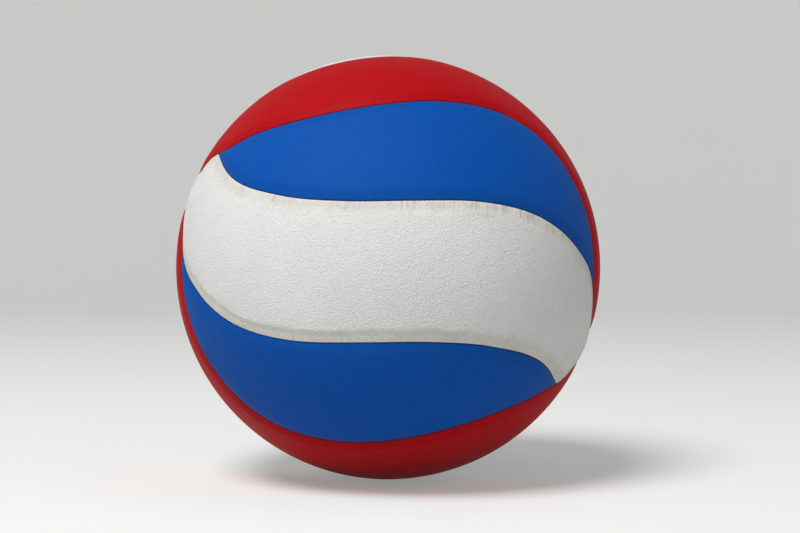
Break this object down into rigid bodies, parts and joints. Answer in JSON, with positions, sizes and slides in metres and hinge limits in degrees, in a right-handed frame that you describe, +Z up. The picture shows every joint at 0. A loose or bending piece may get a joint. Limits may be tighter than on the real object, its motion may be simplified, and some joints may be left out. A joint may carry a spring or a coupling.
{
  "type": "volleyball",
  "caption": "Inflatable volleyball with twisted cover panels in white, blue and red over foam, a wound carcass and a bladder with a needle valve.",
  "frame": {"origin": "centre of the ball", "axes": "+Z up as pictured, -Y through the middle of the front white panel, +Y out through the needle valve, +X to the right of the picture"},
  "size_m": [0.21, 0.2099, 0.21],
  "materials": {
    "white_cover": "matt pebbled synthetic leather, white",
    "blue_cover": "matt pebbled synthetic leather, blue",
    "red_cover": "matt pebbled synthetic leather, red",
    "backing_foam": "closed-cell foam sheet, natural",
    "nylon_thread": "wound nylon thread set in latex",
    "carcass_rubber": "moulded natural rubber, black",
    "bladder_rubber": "smooth butyl rubber, black",
    "valve_rubber": "moulded rubber, dark grey",
    "plug_rubber": "soft self-sealing rubber, off-white"
  },
  "bodies": {
    "root": {"panel_front": "white_cover", "panel_top_front": "red_cover", "panel_top_back": "blue_cover", "panel_bottom_back": "blue_cover", "panel_bottom_front": "red_cover", "leaf_upper_front": "blue_cover", "leaf_top": "white_cover", "leaf_back": "red_cover", "leaf_bottom": "white_cover", "leaf_lower_front": "blue_cover", "foam_front": "backing_foam", "foam_top_front": "backing_foam", "foam_top_back": "backing_foam", "foam_bottom_back": "backing_foam", "foam_bottom_front": "backing_foam", "foam_leaf_upper_front": "backing_foam", "foam_leaf_top": "backing_foam", "foam_leaf_back": "backing_foam", "foam_leaf_bottom": "backing_foam", "foam_leaf_lower_front": "backing_foam", "nylon_winding": "nylon_thread", "rubber_carcass": "carcass_rubber", "bladder": "bladder_rubber", "valve_seat": "valve_rubber", "valve_plug": "plug_rubber", "balance_patch": "valve_rubber"}
  },
  "joints": []
}
